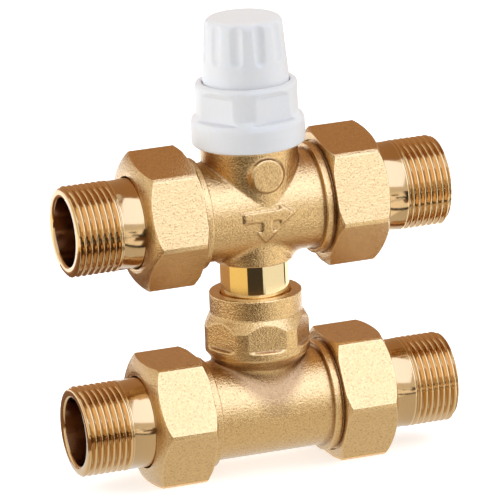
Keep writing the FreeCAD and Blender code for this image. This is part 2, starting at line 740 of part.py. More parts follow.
def make_bypass_sleeve():
    # telescopic sleeve; its upper end is the seat of the bypass way
    body = new_body("bypass_sleeve")
    bottom = sleeve_end - axis_spacing
    groove = size("sleeve_ring_section") + size("groove_play") * half
    ring = size("sleeve_ring_inset") - port_reach
    floor_radius = sleeve_radius - size("sleeve_ring_section") * 2.0
    turned(body, "tube", "V_Axis", [
        (sleeve_bore_radius, bottom),
        (sleeve_radius - size("edge_break") * half, bottom),
        (sleeve_radius, bottom + size("edge_break")),
        (sleeve_radius, ring - groove),
        (floor_radius, ring - groove),
        (floor_radius, ring + groove),
        (sleeve_radius, ring + groove),
        (sleeve_radius, sleeve_stop),
        (sleeve_lip_radius, sleeve_stop),
        (sleeve_lip_radius, sleeve_seat),
        (sleeve_bore_radius, sleeve_seat),
    ])
    place(body, upper_axis)


def make_seals():
    section = size("sleeve_ring_section")
    middle = sleeve_radius - section + size("fit_gap") * half
    height = upper_axis - port_reach + size("sleeve_ring_inset")
    seal_ring("sleeve_o_ring", section, middle, height)
    section = size("ring_section")
    middle = sleeve_radius + size("fit_gap") + section
    seal_ring("tee_o_ring_upper", section, middle, lower_axis + upper_ring_height)
    seal_ring("tee_o_ring_lower", section, middle, lower_axis + lower_ring_height)
    section = size("headwork_ring_section")
    middle = size("headwork_thread_radius") - section
    seal_ring("headwork_o_ring", section, middle, upper_axis + headwork_ring_height)
    section = size("stem_ring_depth") * half - size("fit_gap")
    middle = size("stem_radius") + size("stem_ring_depth") * half
    seal_ring("stem_o_ring", section, middle, upper_axis + stem_ring_height)


def make_union(side, axis, turn, tilt):
    # nut, tailpiece and flat seal of one union, built along +X and turned into place
    tail = new_body(f"{side}_tailpiece")
    taper = size("edge_break")
    turned(tail, "tail", "H_Axis", [
        (gasket_outer, tail_bore_radius),
        (gasket_outer, flange_radius),
        (flange_outer, flange_radius),
        (flange_outer, tail_neck_radius),
        (thread_start, tail_neck_radius),
        (thread_start, size("pipe_thread_radius")),
        (end_reach - taper, size("pipe_thread_radius")),
        (end_reach, size("pipe_thread_radius") - taper),
        (end_reach, tail_bore_radius + taper * half),
        (end_reach - taper * half, tail_bore_radius),
    ])
    place(tail, axis, turn=turn)

    gasket = new_body(f"{side}_gasket")
    turned(gasket, "washer", "H_Axis", [
        (body_end, gasket_inner_radius),
        (body_end, flange_radius),
        (gasket_outer, flange_radius),
        (gasket_outer, gasket_inner_radius),
    ])
    place(gasket, axis, turn=turn)

    nut = new_body(f"{side}_union_nut")
    thread = union_thread_radius + size("fit_gap")
    turned(nut, "blank", "H_Axis", [
        (nut_inner, thread + taper),
        (nut_inner, nut_back_radius),
        (nut_inner + size("nut_back_cone"), nut_corner_radius),
        (nut_outer - size("nut_cone"), nut_corner_radius),
        (nut_outer, nut_face_radius),
        (nut_outer, nut_hole_radius),
        (lip_face, nut_hole_radius),
        (lip_face, thread),
        (nut_inner + taper, thread),
    ])
    flats_cut(nut, "flats", "YZ_Plane", nut_flats,
              nut_corner_radius + waste, nut_inner, nut_outer - nut_inner)
    place(nut, axis, turn=turn, tilt=tilt)


def make_headwork():
    body = new_body("headwork")
    groove = size("headwork_ring_section") + size("groove_play") * half
    floor_radius = size("headwork_thread_radius") - size("headwork_ring_section") * 2.0
    ring = headwork_ring_height
    taper = size("edge_break")
    corner = size("headwork_flats") * corner_share
    turned(body, "blank", "V_Axis", [
        (stem_hole, headwork_bottom),
        (size("headwork_thread_radius") - taper, headwork_bottom),
        (size("headwork_thread_radius"), headwork_bottom + taper),
        (size("headwork_thread_radius"), ring - groove),
        (floor_radius, ring - groove),
        (floor_radius, ring + groove),
        (size("headwork_thread_radius"), ring + groove),
        (size("headwork_thread_radius"), boss_height),
        (cap_thread_radius - taper, boss_height),
        (cap_thread_radius, boss_height + taper),
        (cap_thread_radius, cap_thread_top - taper),
        (cap_thread_radius - taper, cap_thread_top),
        (corner, cap_thread_top),
        (corner, headwork_top),
        (gland_thread_radius, headwork_top),
        (gland_thread_radius, gland_seat),
        (size("spring_bore_radius"), gland_seat),
        (size("spring_bore_radius"), spring_floor),
        (stem_hole, spring_floor),
    ])
    flats_cut(body, "flats", "XY_Plane", size("headwork_flats"), corner + waste,
              cap_thread_top, headwork_top - cap_thread_top)
    place(body, upper_axis)

    gland = new_body("gland_nut")
    head_corner = gland_flats * corner_share
    groove = size("stem_ring_depth") * half
    groove_floor = size("stem_radius") + size("stem_ring_depth")
    ring = stem_ring_height
    turned(gland, "blank", "V_Axis", [
        (stem_hole, gland_seat),
        (gland_thread_radius - size("fit_gap"), gland_seat),
        (gland_thread_radius - size("fit_gap"), headwork_top),
        (head_corner, headwork_top),
        (head_corner, gland_top),
        (stem_hole, gland_top),
        (stem_hole, ring + groove),
        (groove_floor, ring + groove),
        (groove_floor, ring - groove),
        (stem_hole, ring - groove),
    ])
    flats_cut(gland, "flats", "XY_Plane", gland_flats, head_corner + waste,
              headwork_top, size("gland_head"))
    place(gland, upper_axis)


def make_stem():
    body = new_body("stem")
    washer_bottom = disc_bottom - size("washer_thickness")
    nut_bottom = washer_bottom - size("disc_nut_height")
    end = nut_bottom - size("stem_tail")
    clip_floor = size("stem_radius") - size("clip_groove")
    clip_radius = size("stem_radius") + size("clip_rise")
    flange = size("stem_radius") + size("stem_flange_rise")
    tip = size("edge_break") * half
    turned(body, "rod", "V_Axis", [
        (0, end),
        (size("stem_radius"), end),
        (size("stem_radius"), disc_top),
        (flange, disc_top),
        (flange, disc_top + size("stem_flange")),
        (size("stem_radius"), disc_top + size("stem_flange")),
        (size("stem_radius"), cup_top),
        (clip_floor, cup_top),
        (clip_floor, clip_top),
        (size("stem_radius"), clip_top),
        (size("stem_radius"), stem_top - tip),
        (size("stem_radius") - tip, stem_top),
        (0, stem_top),
    ])
    place(body, upper_axis)

    for label, low, high, radius in (
        ("valve_disc", disc_bottom, disc_top, disc_radius),
        ("disc_washer", washer_bottom, disc_bottom, size("stem_radius") + size("washer_rise")),
        ("spring_cup", cup_bottom, cup_top, size("spring_bore_radius") - size("spring_cup_play")),
    ):
        ring = new_body(label)
        turned(ring, "ring", "V_Axis", [
            (stem_hole, low),
            (radius, low),
            (radius, high),
            (stem_hole, high),
        ])
        place(ring, upper_axis)

    nut = new_body("disc_nut")
    corner = size("disc_nut_flats") * corner_share
    turned(nut, "blank", "V_Axis", [
        (stem_hole, nut_bottom),
        (corner, nut_bottom),
        (corner, washer_bottom),
        (stem_hole, washer_bottom),
    ])
    flats_cut(nut, "flats", "XY_Plane", size("disc_nut_flats"), corner + waste,
              nut_bottom, size("disc_nut_height"))
    place(nut, upper_axis)

    clip = new_body("stem_clip")
    turned(clip, "ring", "V_Axis", [
        (clip_floor + size("fit_gap"), cup_top),
        (clip_radius, cup_top),
        (clip_radius, clip_top),
        (clip_floor + size("fit_gap"), clip_top),
    ])
    sketch = new_sketch(clip, "XZ_Plane", "slot_profile")
    slot = size("clip_slot") * half
    add_outline(sketch, as_points([
        (-slot, cup_top - over),
        (slot, cup_top - over),
        (slot, clip_top + over),
        (-slot, clip_top + over),
    ]))
    doc.recompute()
    before = clip.Shape.Volume
    cut = clip.newObject("PartDesign::Pocket", "slot")
    cut.Profile = sketch
    bind(cut, "Length", clip_radius + over)
    check_cut(clip, "slot", before)
    place(clip, upper_axis)


def make_return_spring():
    body = new_body("return_spring")
    wire = size("spring_wire")
    sketch = new_sketch(body, "XZ_Plane", "wire_profile")
    bottom = spring_floor + wire + size("face_gap")
    number = sketch.addGeometry(Part.Circle(
        FreeCAD.Vector(spring_coil_radius.value, bottom.value, 0),
        FreeCAD.Vector(0, 0, 1), wire.value))
    tie_point(sketch, number, 3, (spring_coil_radius, bottom))
    rule = Sketcher.Constraint("Radius", number, wire.value)
    bind(sketch, f"Constraints[{sketch.addConstraint(rule)}]", wire)
    coil = body.newObject("PartDesign::AdditiveHelix", "coil")
    coil.Profile = sketch
    coil.ReferenceAxis = (sketch, ["V_Axis"])
    coil.Mode = "height-turns-angle"
    rise = cup_bottom - spring_floor - wire * 2.0 - size("face_gap") * 2.0
    bind(coil, "Height", rise)
    bind(coil, "Turns", size("spring_turns"))
    place(body, upper_axis)


def make_cap():
    collar = new_body("cap_collar")
    thread = cap_thread_radius + size("fit_gap")
    guide = pin_radius + size("fit_gap")
    turned(collar, "shell", "V_Axis", [
        (thread, collar_bottom),
        (collar_ring_radius, collar_bottom),
        (collar_ring_radius, collar_ring_top),
        (collar_bend_radius, collar_shoulder),
        (collar_wall_radius, collar_wall_start),
        (collar_shoulder_radius, collar_top),
        (collar_mouth_radius, collar_top),
        (collar_mouth_radius, web_top),
        (size("post_radius"), web_top),
        (size("post_radius"), post_top),
        (guide, post_top),
        (guide, web_bottom),
        (collar_mouth_radius, web_bottom),
        (collar_mouth_radius, collar_thread_end),
        (thread, collar_thread_end),
    ])
    rounded(collar, "top_round", size("collar_round"),
            lambda edge: is_ring(edge, collar_shoulder_radius, collar_top))
    rounded(collar, "foot_round", size("collar_foot_round"),
            lambda edge: is_ring(edge, collar_ring_radius, collar_bottom))
    sketch = new_sketch(collar, "XZ_Plane", "panel_profile")
    outside = collar_ring_radius + over
    add_outline(sketch, as_points([
        (panel_distance, panel_bottom),
        (outside, panel_bottom),
        (outside, panel_top),
        (collar_wall_radius, panel_top),
        (panel_distance, panel_top - size("panel_cove")),
    ]))
    doc.recompute()
    before = collar.Shape.Volume
    panel = collar.newObject("PartDesign::Pocket", "panel")
    panel.Profile = sketch
    panel.SideType = "Symmetric"
    bind(panel, "Length", collar_ring_radius)
    check_cut(collar, "panel", before)
    ring = collar.newObject("PartDesign::PolarPattern", "panels")
    ring.Originals = [panel]
    ring.Axis = (sketch, ["V_Axis"])
    ring.Angle = 360.0
    bind(ring, "Occurrences", size("panel_count"))
    collar.Tip = ring
    place(collar, upper_axis, turn=size("cap_turn").value)

    knob = new_body("control_knob")
    bore = size("post_radius") + size("fit_gap")
    sleeve = bore + size("knob_sleeve")
    skirt = knob_radius - size("knob_skirt")
    recess = knob_bottom + size("knob_recess")
    turned(knob, "shell", "V_Axis", [
        (bore, knob_bottom),
        (sleeve, knob_bottom),
        (sleeve, recess),
        (skirt, recess),
        (skirt, knob_bottom),
        (knob_radius, knob_bottom),
        (knob_radius, knob_waist),
        (knob_shoulder_radius, knob_shoulder),
        (knob_crown_radius, knob_top),
        (0, knob_top),
        (0, knob_roof),
        (bore, knob_roof),
    ])
    rounded(knob, "top_round", size("knob_top_round"),
            lambda edge: is_ring(edge, knob_crown_radius, knob_top))
    flute_ring(knob)
    place(knob, upper_axis, turn=size("flute_turn").value)

    pusher = new_body("knob_pusher")
    head_radius = pin_radius + size("pin_head_rise")
    turned(pusher, "pin", "V_Axis", [
        (0, stem_top + size("face_gap")),
        (pin_radius, stem_top + size("face_gap")),
        (pin_radius, pin_top - size("pin_head")),
        (head_radius, pin_top - size("pin_head")),
        (head_radius, pin_top),
        (0, pin_top),
    ])
    place(pusher, upper_axis)


def flute_ring(knob):
    # round-ended flutes that follow the knob's taper, cut about a leaning axis
    sketch = new_sketch(knob, "XZ_Plane", "flute_profile")
    radius = size("flute_radius")
    offset = radius - size("flute_depth")
    low_point = (knob_radius + offset, knob_bottom + size("flute_rise") + radius)
    high_point = (knob_shoulder_radius + offset, knob_top + over)
    low = FreeCAD.Vector(low_point[0].value, low_point[1].value, 0)
    high = FreeCAD.Vector(high_point[0].value, high_point[1].value, 0)
    along = (high - low).normalize()
    inward = FreeCAD.Vector(-along.y, along.x, 0)
    ball = Part.Circle(low, FreeCAD.Vector(0, 0, 1), radius.value)
    side_angle = math.atan2(inward.y, inward.x)
    foot_angle = math.atan2(-along.y, -along.x) + 2 * math.pi
    foot = low - along * radius.value
    sketch.addGeometry(Part.LineSegment(foot, high))
    sketch.addGeometry(Part.LineSegment(high, high + inward * radius.value))
    sketch.addGeometry(Part.LineSegment(high + inward * radius.value, low + inward * radius.value))
    sketch.addGeometry(Part.ArcOfCircle(ball, side_angle, foot_angle))
    for first, first_end, second, second_end in ((0, 2, 1, 1), (1, 2, 2, 1), (3, 2, 0, 1)):
        sketch.addConstraint(Sketcher.Constraint("Coincident", first, first_end, second, second_end))
    sketch.addConstraint(Sketcher.Constraint("Tangent", 2, 2, 3, 1))
    tie_point(sketch, 0, 2, high_point)
    tie_point(sketch, 3, 3, low_point)
    rule = Sketcher.Constraint("Radius", 3, radius.value)
    bind(sketch, f"Constraints[{sketch.addConstraint(rule)}]", radius)
    sketch.addConstraint(Sketcher.Constraint("PointOnObject", 3, 3, 0))
    sketch.addConstraint(Sketcher.Constraint("Perpendicular", 0, 1))
    sketch.addConstraint(Sketcher.Constraint("Parallel", 0, 2))
    doc.recompute()
    before = knob.Shape.Volume
    flute = knob.newObject("PartDesign::Groove", "flute")
    flute.Profile = sketch
    flute.ReferenceAxis = (sketch, ["Edge1"])
    flute.Angle = 360.0
    check_cut(knob, "flute", before)
    ring = knob.newObject("PartDesign::PolarPattern", "flutes")
    ring.Originals = [flute]
    ring.Axis = (sketch, ["V_Axis"])
    ring.Angle = 360.0
    bind(ring, "Occurrences", size("flute_count"))
    knob.Tip = ring


def check_and_write():
    doc.recompute()
    for thing in doc.Objects:
        if any(word in thing.State for word in ("Invalid", "Error")):
            problems.append(f"{thing.Label}: {thing.State}")
    for thing in nodes:
        shape = thing.Shape
        if shape.isNull() or not shape.isValid() or len(shape.Solids) != 1:
            problems.append(f"{thing.Label}: bad shape")
    if problems:
        raise SystemExit("\n".join(problems))
    for thing in nodes:
        thing.Shape.exportStep(os.path.join("parts", thing.Label + ".step"))
    print(len(nodes), "parts written")


make_valve_body()
make_bypass_tee()
make_bypass_sleeve()
make_seals()
make_union("upper_left", upper_axis, 180.0, -size("upper_nut_tilt").value)
make_union("upper_right", upper_axis, 0.0, size("upper_nut_tilt").value)
make_union("lower_left", lower_axis, 180.0, 0.0)
make_union("lower_right", lower_axis, 0.0, 0.0)
make_headwork()
make_stem()
make_return_spring()
make_cap()
check_and_write()
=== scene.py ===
import json
import math

import bmesh
import bpy
import numpy as np
from mathutils import Matrix, Vector

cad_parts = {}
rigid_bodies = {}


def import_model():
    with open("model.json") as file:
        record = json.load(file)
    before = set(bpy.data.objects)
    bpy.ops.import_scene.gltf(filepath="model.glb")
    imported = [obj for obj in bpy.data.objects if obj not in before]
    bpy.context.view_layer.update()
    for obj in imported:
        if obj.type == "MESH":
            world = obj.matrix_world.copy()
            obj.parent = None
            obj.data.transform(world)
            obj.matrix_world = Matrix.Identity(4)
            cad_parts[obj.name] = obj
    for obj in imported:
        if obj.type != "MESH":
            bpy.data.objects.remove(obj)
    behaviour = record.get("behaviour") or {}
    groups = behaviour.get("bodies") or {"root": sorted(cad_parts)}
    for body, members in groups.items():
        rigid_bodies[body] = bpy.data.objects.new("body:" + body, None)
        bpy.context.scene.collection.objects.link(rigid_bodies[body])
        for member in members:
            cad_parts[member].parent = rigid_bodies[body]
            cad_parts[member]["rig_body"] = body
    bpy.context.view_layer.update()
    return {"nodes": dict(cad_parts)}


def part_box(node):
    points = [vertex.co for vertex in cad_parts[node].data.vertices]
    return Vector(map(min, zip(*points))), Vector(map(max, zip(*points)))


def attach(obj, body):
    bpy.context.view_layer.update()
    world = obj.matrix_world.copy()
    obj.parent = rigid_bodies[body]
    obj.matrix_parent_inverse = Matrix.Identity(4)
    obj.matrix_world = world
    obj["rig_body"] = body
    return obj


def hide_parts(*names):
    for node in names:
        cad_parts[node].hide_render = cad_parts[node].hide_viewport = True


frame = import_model()
nodes = frame["nodes"]
mm = 0.001
print("frame loaded:", len(nodes), "nodes")

# Heights of the two pipe lines
pipeAxis = {}
for level in ("upper", "lower"):
    pipeAxis[level] = sum(corner.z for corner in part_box(f"{level}_left_tailpiece")) / 2


# Node helpers

def addNode(tree, kind, place, **settings):
    node = tree.nodes.new(kind)
    node.location = place
    for name, value in settings.items():
        setattr(node, name, value)
    return node


def setSockets(node, **values):
    for name, value in values.items():
        node.inputs[name.replace("_", " ")].default_value = value
    return node


def newGroup(name, inputs, outputs):
    group = bpy.data.node_groups.new(name, "ShaderNodeTree")
    for socketName, kind, value in inputs:
        socket = group.interface.new_socket(name=socketName, in_out="INPUT", socket_type=kind)
        socket.default_value = value
    for socketName, kind in outputs:
        group.interface.new_socket(name=socketName, in_out="OUTPUT", socket_type=kind)
    entry = addNode(group, "NodeGroupInput", (-900, 0))
    leave = addNode(group, "NodeGroupOutput", (700, 0))
    return group, entry, leave


def useGroup(tree, group, place, **values):
    node = addNode(tree, "ShaderNodeGroup", place, node_tree=group)
    return setSockets(node, **values)


def fillSocket(tree, socket, value):
    # a plain value is set, an output of another node is linked
    if isinstance(value, (int, float, tuple)):
        socket.default_value = value
    else:
        tree.links.new(value, socket)


def mathNode(tree, operation, first, second, place):
    node = addNode(tree, "ShaderNodeMath", place, operation=operation)
    fillSocket(tree, node.inputs[0], first)
    fillSocket(tree, node.inputs[1], second)
    return node.outputs[0]


def rampNode(tree, value, low, high, place):
    node = addNode(tree, "ShaderNodeMapRange", place, clamp=True)
    setSockets(node, From_Min=low, From_Max=high)
    tree.links.new(value, node.inputs["Value"])
    return node.outputs["Result"]


def mixColours(tree, factor, first, second, place):
    # a Mix node's colours are its inputs 6 and 7 and its output 2
    node = addNode(tree, "ShaderNodeMix", place, data_type="RGBA")
    for index, value in ((0, factor), (6, first), (7, second)):
        fillSocket(tree, node.inputs[index], value)
    return node.outputs[2]


def linearColour(red, green, blue):
    # sRGB 0-255 as read off a colour picker, to the scene's linear values
    parts = []
    for value in (red, green, blue):
        share = value / 255
        parts.append(share / 12.92 if share <= 0.04045 else ((share + 0.055) / 1.055) ** 2.4)
    return (*parts, 1.0)


# Effects that several finishes share

def makeGrainGroup():
    # skin of a sandblasted forging: its height, the deeper pits, broad clouds and fine specks
    group, entry, leave = newGroup(
        "blastedGrain",
        [("Scale", "NodeSocketFloat", 1500.0), ("Coarse Scale", "NodeSocketFloat", 700.0)],
        [("Height", "NodeSocketFloat"), ("Pits", "NodeSocketFloat"), ("Cloud", "NodeSocketFloat"),
         ("Speck", "NodeSocketFloat")],
    )
    coords = addNode(group, "ShaderNodeTexCoord", (-900, -250))
    fine = addNode(group, "ShaderNodeTexNoise", (-600, 200))
    setSockets(fine, Detail=2.0, Roughness=0.6)
    coarse = addNode(group, "ShaderNodeTexNoise", (-600, -100))
    setSockets(coarse, Detail=2.0, Roughness=0.55)
    cloud = addNode(group, "ShaderNodeTexNoise", (-600, -400))
    setSockets(cloud, Scale=90.0, Detail=4.0, Roughness=0.6)
    for node in (fine, coarse, cloud):
        group.links.new(coords.outputs["Object"], node.inputs["Vector"])
    group.links.new(entry.outputs["Scale"], fine.inputs["Scale"])
    group.links.new(entry.outputs["Coarse Scale"], coarse.inputs["Scale"])
    swell = mathNode(group, "MULTIPLY", coarse.outputs["Fac"], 0.5, (-350, -100))
    height = mathNode(group, "ADD", fine.outputs["Fac"], swell, (-150, 100))
    pits = rampNode(group, fine.outputs["Fac"], 0.38, 0.29, (-150, -100))
    speck = rampNode(group, fine.outputs["Fac"], 0.36, 0.64, (-150, -250))
    group.links.new(speck, leave.inputs["Speck"])
    group.links.new(height, leave.inputs["Height"])
    group.links.new(pits, leave.inputs["Pits"])
    group.links.new(cloud.outputs["Fac"], leave.inputs["Cloud"])
    return group


def makeEdgeGroup():
    # reads the piece's own "edge" attribute: 0 deep in a corner, 0.5 flat, 1 on a sharp edge; its masks
    # place painted shade in hollows and in a bore, and a painted highlight on sharp edges
    group, entry, leave = newGroup(
        "edgeMasks",
        [("Rim From", "NodeSocketFloat", 0.58), ("Rim To", "NodeSocketFloat", 0.85),
         ("Hollow From", "NodeSocketFloat", 0.44), ("Hollow To", "NodeSocketFloat", 0.12)],
        [("Rim", "NodeSocketFloat"), ("Hollow", "NodeSocketFloat"), ("Inside", "NodeSocketFloat")],
    )
    inside = addNode(group, "ShaderNodeAttribute", (-600, -300), attribute_name="inside")
    group.links.new(inside.outputs["Fac"], leave.inputs["Inside"])
    edge = addNode(group, "ShaderNodeAttribute", (-600, 0), attribute_name="edge")
    for name, low, high, place in (("Rim", "Rim From", "Rim To", (-200, 150)),
                                   ("Hollow", "Hollow From", "Hollow To", (-200, -150))):
        node = addNode(group, "ShaderNodeMapRange", place, clamp=True)
        group.links.new(edge.outputs["Fac"], node.inputs["Value"])
        group.links.new(entry.outputs[low], node.inputs["From Min"])
        group.links.new(entry.outputs[high], node.inputs["From Max"])
        group.links.new(node.outputs["Result"], leave.inputs[name])
    return group


grainGroup = makeGrainGroup()
edgeGroup = makeEdgeGroup()


# Finishes, one for each material slot

def newFinish(name):
    material = bpy.data.materials.new(name)
    material.use_nodes = True
    tree = material.node_tree
    shader = tree.nodes["Principled BSDF"]
    return material, tree, shader


def bumpInto(tree, shader, height, strength, distance):
    bump = addNode(tree, "ShaderNodeBump", (-250, -400))
    setSockets(bump, Strength=strength, Distance=distance)
    tree.links.new(height, bump.inputs["Height"])
    tree.links.new(bump.outputs["Normal"], shader.inputs["Normal"])


def tintedBy(tree, source, mask, body, tint, share, row):
    # moves the body's colour towards the tint by a share of one of a group's masks
    amount = mathNode(tree, "MULTIPLY", source.outputs[mask], share, (-700, row))
    return mixColours(tree, amount, body, tint, (-450, 100 - row))


def roughBy(tree, shader, value, base, spread):
    rough = mathNode(tree, "MULTIPLY", value, spread, (-450, -150))
    rough = mathNode(tree, "ADD", rough, base, (-300, -150))
    tree.links.new(rough, shader.inputs["Roughness"])


def blastedBrass(name, settings):
    material, tree, shader = newFinish(name)
    setSockets(shader, Metallic=1.0, Coat_Weight=settings["coat"], Coat_Roughness=settings["coatRoughness"])
    grain = useGroup(tree, grainGroup, (-1100, 0), Scale=settings["grain"],
                     Coarse_Scale=settings["coarseGrain"])
    edges = useGroup(tree, edgeGroup, (-1100, -300))
    body = mixColours(tree, grain.outputs["Cloud"], settings["deep"], settings["light"], (-950, 100))
    body = mixColours(tree, grain.outputs["Speck"], settings["speck"], body, (-800, 100))
    body = tintedBy(tree, grain, "Pits", body, settings["pit"], settings["pitShare"], -100)
    # painted shade: the hollow colour darkens concave corners, where shade would fall
    body = tintedBy(tree, edges, "Hollow", body, settings["hollow"], settings["hollowShadeShare"], -300)
    # painted highlight: the rim colour lightens sharp edges, where light would catch
    body = tintedBy(tree, edges, "Rim", body, settings["rim"], settings["rimHighlightShare"], -450)
    tree.links.new(body, shader.inputs["Base Color"])
    roughBy(tree, shader, edges.outputs["Rim"], settings["roughness"],
            settings["rimRoughness"] - settings["roughness"])
    bumpInto(tree, shader, grain.outputs["Height"], settings["bump"], settings["bumpDepth"])
    return material


def turnedBrass(name, settings):
    # lathe marks run round the piece's axis, so the noise is squeezed along it by "stretch"
    material, tree, shader = newFinish(name)
    setSockets(shader, Metallic=1.0, Coat_Weight=settings["coat"], Coat_Roughness=settings["coatRoughness"])
    coords = addNode(tree, "ShaderNodeTexCoord", (-1300, 0))
    mapping = addNode(tree, "ShaderNodeMapping", (-1100, 0))
    mapping.inputs["Scale"].default_value = settings["stretch"]
    tree.links.new(coords.outputs["Object"], mapping.inputs["Vector"])
    marks = addNode(tree, "ShaderNodeTexNoise", (-900, 0))
    setSockets(marks, Scale=settings["marks"], Detail=3.0, Roughness=0.6)
    tree.links.new(mapping.outputs["Vector"], marks.inputs["Vector"])
    edges = useGroup(tree, edgeGroup, (-900, -300))
    body = mixColours(tree, marks.outputs["Fac"], settings["deep"], settings["light"], (-650, 100))
    # painted shade: the hollow colour darkens concave corners, where shade would fall
    body = tintedBy(tree, edges, "Hollow", body, settings["hollow"], settings["hollowShadeShare"], -250)
    # painted highlight: the rim colour lightens sharp edges, where light would catch
    body = tintedBy(tree, edges, "Rim", body, settings["rim"], settings["rimHighlightShare"], -400)
    # painted shade: the inside colour darkens the bore
    body = mixColours(tree, edges.outputs["Inside"], body, settings["inside"], (-150, 250))
    tree.links.new(body, shader.inputs["Base Color"])
    roughBy(tree, shader, marks.outputs["Fac"], settings["roughness"], settings["roughSpread"])
    bumpInto(tree, shader, marks.outputs["Fac"], settings["bump"], settings["bumpDepth"])
    return material


def plainFinish(name, settings):
    # plastic, rubber, fibre and steel: two tones of one noise, with a little relief
    material, tree, shader = newFinish(name)
    shader.inputs["Metallic"].default_value = settings.get("metallic", 0.0)
    shader.inputs["Specular IOR Level"].default_value = settings.get("specular", 0.5)
    shader.inputs["Subsurface Weight"].default_value = settings.get("subsurface", 0.0)
    shader.inputs["Subsurface Radius"].default_value = (0.004, 0.003, 0.002)
    coords = addNode(tree, "ShaderNodeTexCoord", (-1100, 0))
    noise = addNode(tree, "ShaderNodeTexNoise", (-900, 0))
    setSockets(noise, Scale=settings["scale"], Detail=4.0, Roughness=0.6)
    tree.links.new(coords.outputs["Object"], noise.inputs["Vector"])
    body = mixColours(tree, noise.outputs["Fac"], settings["deep"], settings["light"], (-600, 100))
    if "hollow" in settings:
        edges = useGroup(tree, edgeGroup, (-900, -300))
        # painted shade: the hollow colour darkens concave corners, where shade would fall
        body = tintedBy(tree, edges, "Hollow", body, settings["hollow"], settings["hollowShadeShare"], -250)
    tree.links.new(body, shader.inputs["Base Color"])
    roughBy(tree, shader, noise.outputs["Fac"], settings["roughness"], settings["roughSpread"])
    bumpInto(tree, shader, noise.outputs["Fac"], settings["bump"], settings["bumpDepth"])
    return material


forgedLook = {
    "light": linearColour(223, 187, 124), "deep": linearColour(214, 176, 113),
    "speck": linearColour(202, 162, 103),
    "pit": linearColour(120, 78, 40), "pitShare": 0.5,
    # the hollow colour is painted shade in concave corners
    "hollow": linearColour(118, 70, 32), "hollowShadeShare": 0.75,
    # the rim colour is a painted highlight on sharp edges
    "rim": linearColour(232, 198, 142), "rimHighlightShare": 0.3,
    "grain": 1900.0, "coarseGrain": 1000.0, "coat": 0.8, "coatRoughness": 0.35,
    "roughness": 0.25, "rimRoughness": 0.24, "bump": 1.0, "bumpDepth": 0.16 * mm,
}
turnedLook = {
    "light": linearColour(216, 176, 118), "deep": linearColour(202, 160, 102),
    # the hollow colour is painted shade in concave corners
    "hollow": linearColour(172, 146, 104), "hollowShadeShare": 0.75,
    # the rim colour is a painted highlight on sharp edges
    "rim": linearColour(240, 214, 162), "rimHighlightShare": 0.35,
    # the inside colour is painted shade in the bore
    "inside": linearColour(152, 120, 90),
    "stretch": (6.0, 0.6, 0.6), "marks": 700.0, "coat": 0.8, "coatRoughness": 0.15,
    "roughness": 0.09, "roughSpread": 0.06, "bump": 0.12, "bumpDepth": 0.05 * mm,
}
polishedLook = dict(turnedLook, stretch=(0.6, 0.6, 5.0), light=linearColour(245, 220, 166),
                    deep=linearColour(240, 212, 156), roughness=0.04, roughSpread=0.04, bump=0.03,
                    coat=0.0)
plasticLook = {
    "light": linearColour(246, 247, 249), "deep": linearColour(240, 241, 244),
    # the hollow colour is painted shade in concave corners
    "hollow": linearColour(214, 216, 221), "hollowShadeShare": 0.5,
    "scale": 900.0, "roughness": 0.34, "roughSpread": 0.10, "specular": 0.45, "subsurface": 0.15,
    "bump": 0.06, "bumpDepth": 0.05 * mm,
}
rubberLook = {
    "light": linearColour(44, 44, 45), "deep": linearColour(26, 26, 27),
    "scale": 1400.0, "roughness": 0.5, "roughSpread": 0.2, "bump": 0.2, "bumpDepth": 0.05 * mm,
}
fibreLook = {
    "light": linearColour(176, 92, 70), "deep": linearColour(140, 66, 50),
    "scale": 1100.0, "roughness": 0.65, "roughSpread": 0.2, "bump": 0.3, "bumpDepth": 0.08 * mm,
}
steelLook = {
    "light": linearColour(206, 206, 204), "deep": linearColour(176, 176, 176),
    "scale": 1200.0, "roughness": 0.2, "roughSpread": 0.15, "metallic": 1.0, "bump": 0.1,
    "bumpDepth": 0.03 * mm,
}

finishes = {
    "forged_brass": blastedBrass("forgedBrass", forgedLook),
    "forged_brass_nut": blastedBrass("forgedNutBrass", forgedLook),
    "machined_brass": turnedBrass("turnedBrass", turnedLook),
    "polished_brass": turnedBrass("polishedBrass", polishedLook),
    "white_plastic": plainFinish("whitePlastic", plasticLook),
    "black_rubber": plainFinish("blackRubber", rubberLook),
    "fibre_seal": plainFinish("fibreSeal", fibreLook),
    "stainless_steel": plainFinish("stainlessSteel", steelLook),
}

slotOf = {}
for name, node in nodes.items():
    slotOf[name] = node.data.materials[0].name.split(".")[0]
    node.data.materials[0] = finishes[slotOf[name]]
print("finishes made:", len(finishes))


# Mesh helpers

def readVertices(mesh, what="co"):
    values = np.empty(len(mesh.vertices) * 3)
    mesh.vertices.foreach_get(what, values)
    return values.reshape(-1, 3)


def readEdges(mesh):
    ends = np.empty(len(mesh.edges) * 2, dtype=np.int64)
    mesh.edges.foreach_get("vertices", ends)
    return ends.reshape(-1, 2)


